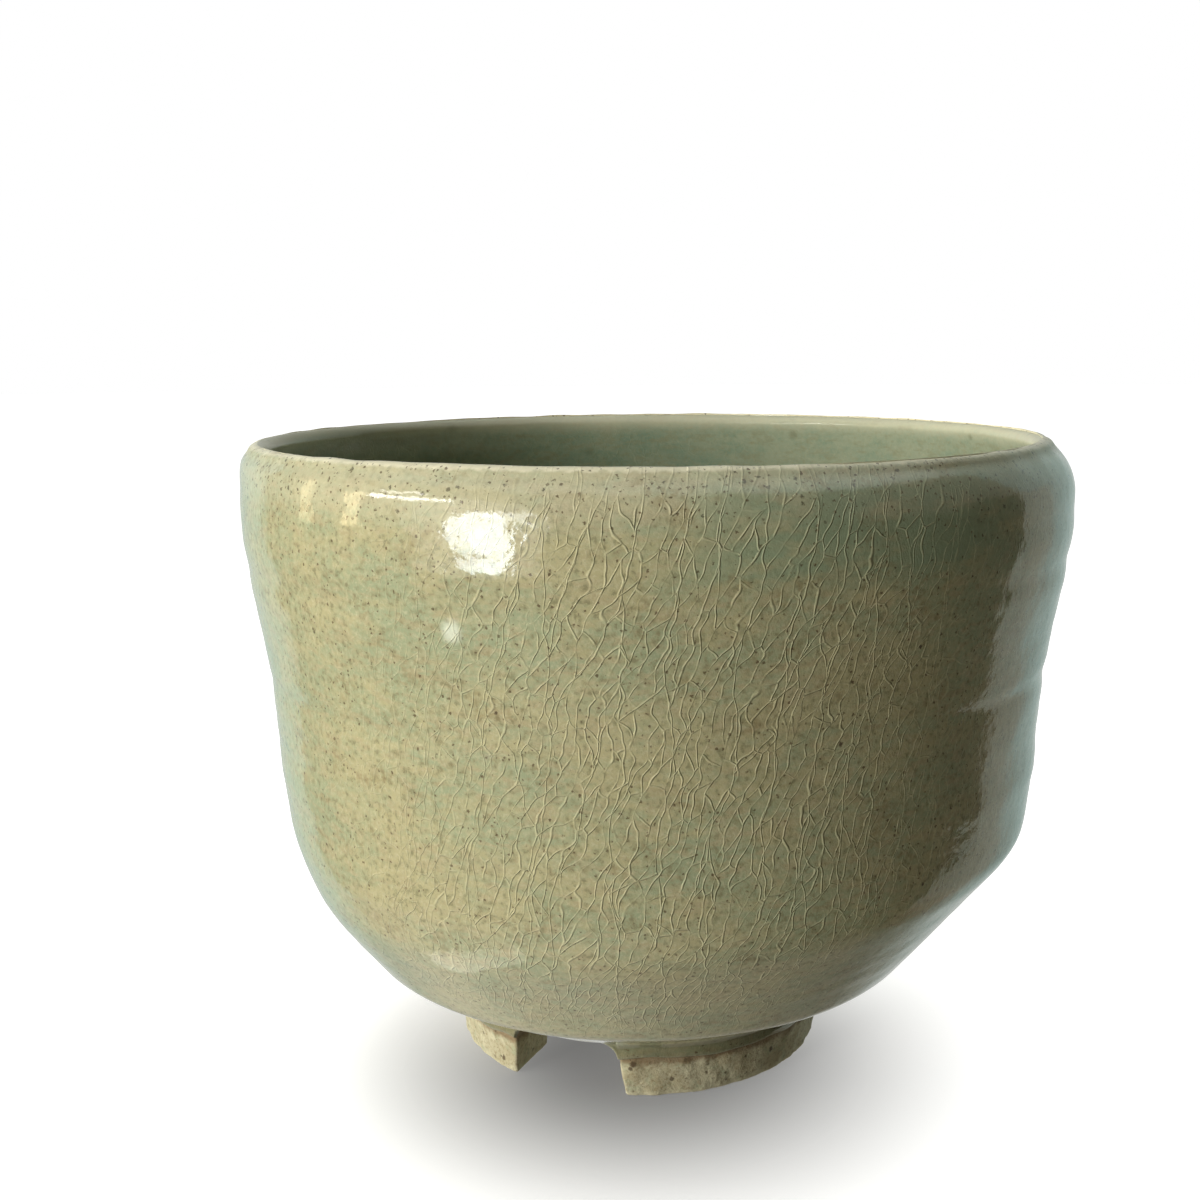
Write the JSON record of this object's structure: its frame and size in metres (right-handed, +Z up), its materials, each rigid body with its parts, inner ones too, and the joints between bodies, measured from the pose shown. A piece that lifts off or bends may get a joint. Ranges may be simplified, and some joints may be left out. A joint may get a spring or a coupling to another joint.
{
  "type": "matcha bowl",
  "caption": "Hand-thrown tea bowl with a rounded shoulder, a thin in-turned lip, a trimmed underside, crackled glaze inside and out, and a bare foot ring split by notches.",
  "frame": {"origin": "on the axis of the thrown wall, in the plane that the foot ring stands on", "axes": "+Z up, along the axis of the wall; the notches of the foot ring open towards -Y and +Y"},
  "size_m": [0.1204, 0.1204, 0.0913],
  "materials": {
    "stoneware": "bare fired buff stoneware, fine speckle, matt",
    "outer_glaze": "glossy crackled celadon over buff clay, iron specks",
    "inner_glaze": "glossy crackled celadon, greener inside"
  },
  "bodies": {
    "root": {"bowl_body": "stoneware", "foot_left": "stoneware", "foot_right": "stoneware", "outer_glaze": "outer_glaze", "inner_glaze": "inner_glaze"}
  },
  "joints": []
}
